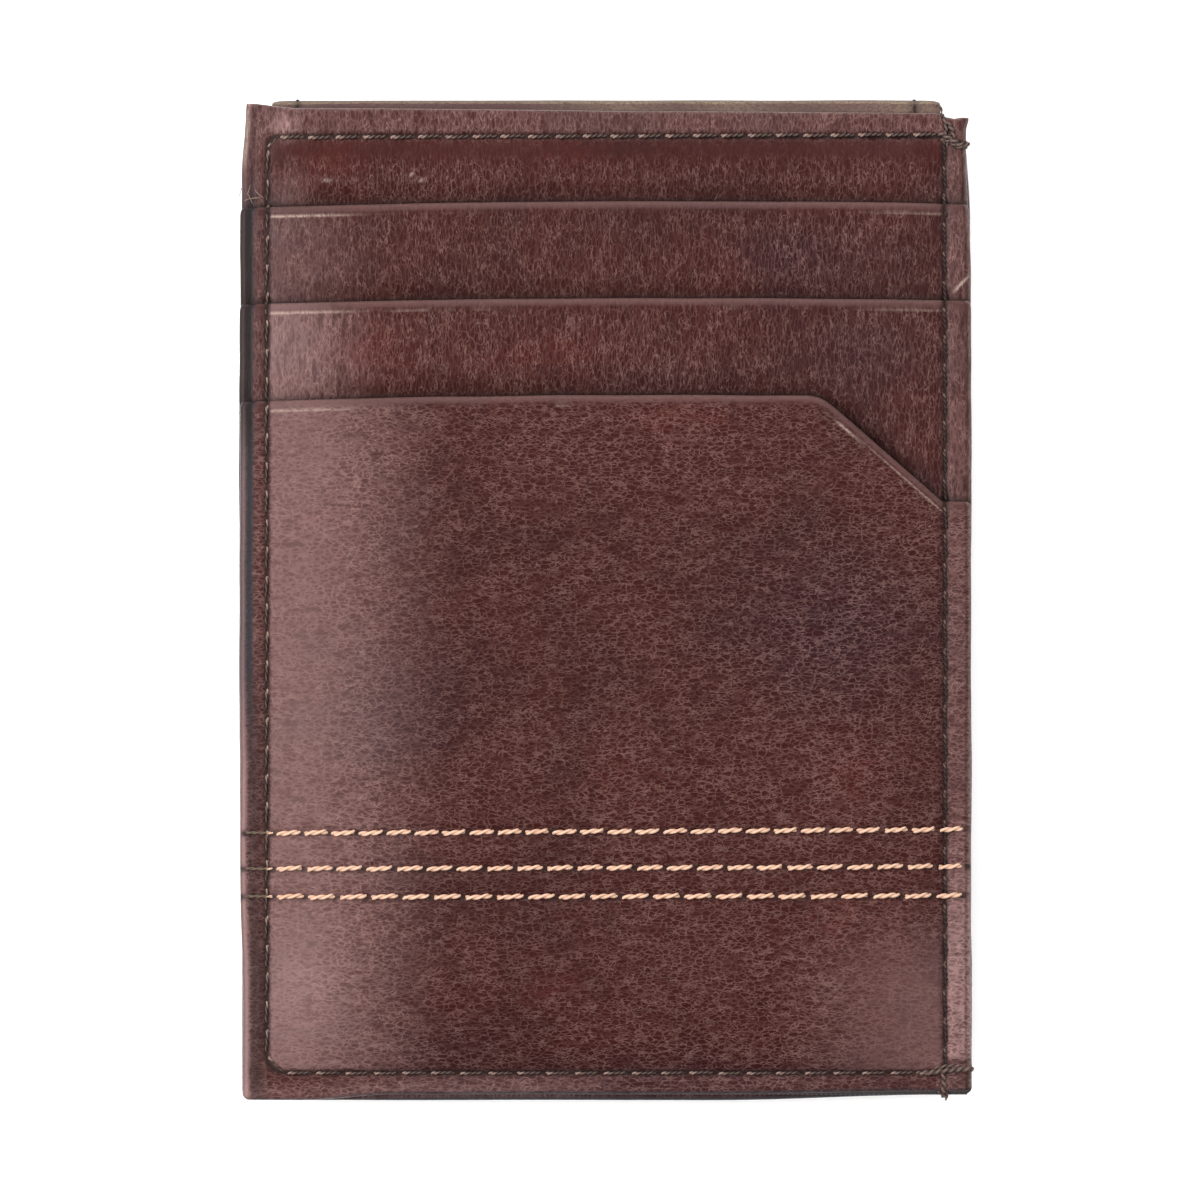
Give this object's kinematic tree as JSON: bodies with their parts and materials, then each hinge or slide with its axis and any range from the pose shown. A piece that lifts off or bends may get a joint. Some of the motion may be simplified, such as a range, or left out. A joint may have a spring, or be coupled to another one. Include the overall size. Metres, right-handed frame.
{
  "type": "leather card wallet",
  "caption": "Slim upright leather card wallet with stepped pockets on its front and a magnetic clip for notes folded over its top edge onto the back.",
  "frame": {"origin": "centre of the bounding box in X and Y, at the underside of the closed clip, which is what the wallet lies on", "axes": "+X across the width to the right as seen from the front, +Y up to the open top edge with the clip's fold, +Z out of the pocket front"},
  "size_m": [0.077, 0.1052, 0.0102],
  "materials": {
    "leather": "semi-gloss mottled dark brown full-grain leather with a fine grain",
    "leather_inside": "soft matt brown leather, flesh side or turned edge",
    "lining": "matt dark brown woven lining cloth",
    "board": "bonded leather stiffener board",
    "magnet": "nickel-plated magnet",
    "brown_thread": "twisted dark brown thread",
    "cream_thread": "twisted cream thread"
  },
  "bodies": {
    "body": {"back_panel": "leather", "back_panel_hem": "leather_inside", "back_stiffener": "board", "body_magnets": "magnet", "strap_root_inner_ply": "leather_inside", "strap_root_outer_ply": "leather", "back_lining": "lining", "front_panel_hem": "leather_inside", "front_lining": "lining", "front_panel": "leather", "rear_pocket_hem": "leather_inside", "rear_pocket_lining": "lining", "rear_pocket_face": "leather", "middle_pocket_hem": "leather_inside", "middle_pocket_lining": "lining", "middle_pocket_face": "leather", "front_pocket_hem": "leather_inside", "front_pocket_lining": "lining", "front_pocket_face": "leather", "card_stop_stitching": "brown_thread", "case_stitching_front": "brown_thread", "case_stitching_back": "brown_thread", "strap_root_stitching": "brown_thread", "cream_stitching_upper": "cream_thread", "cream_stitching_middle": "cream_thread", "cream_stitching_lower": "cream_thread", "seam_back_tacks": "brown_thread"},
    "clip": {"clip_outer_ply": "leather", "clip_inner_ply": "leather_inside", "clip_core": "board", "clip_magnets": "magnet", "clip_stitching_outer": "brown_thread", "clip_stitching_inner": "brown_thread", "clip_fold_outer_ply": "leather", "clip_fold_inner_ply": "leather_inside"}
  },
  "joints": [
    {"name": "clip_fold", "type": "hinge", "parent": "body", "child": "clip", "pos_m": [0, 0.05045, 0.00215], "axis": [1, 0, 0], "range_deg": [0, 180], "deforming": ["clip_fold_outer_ply", "clip_fold_inner_ply"]}
  ]
}
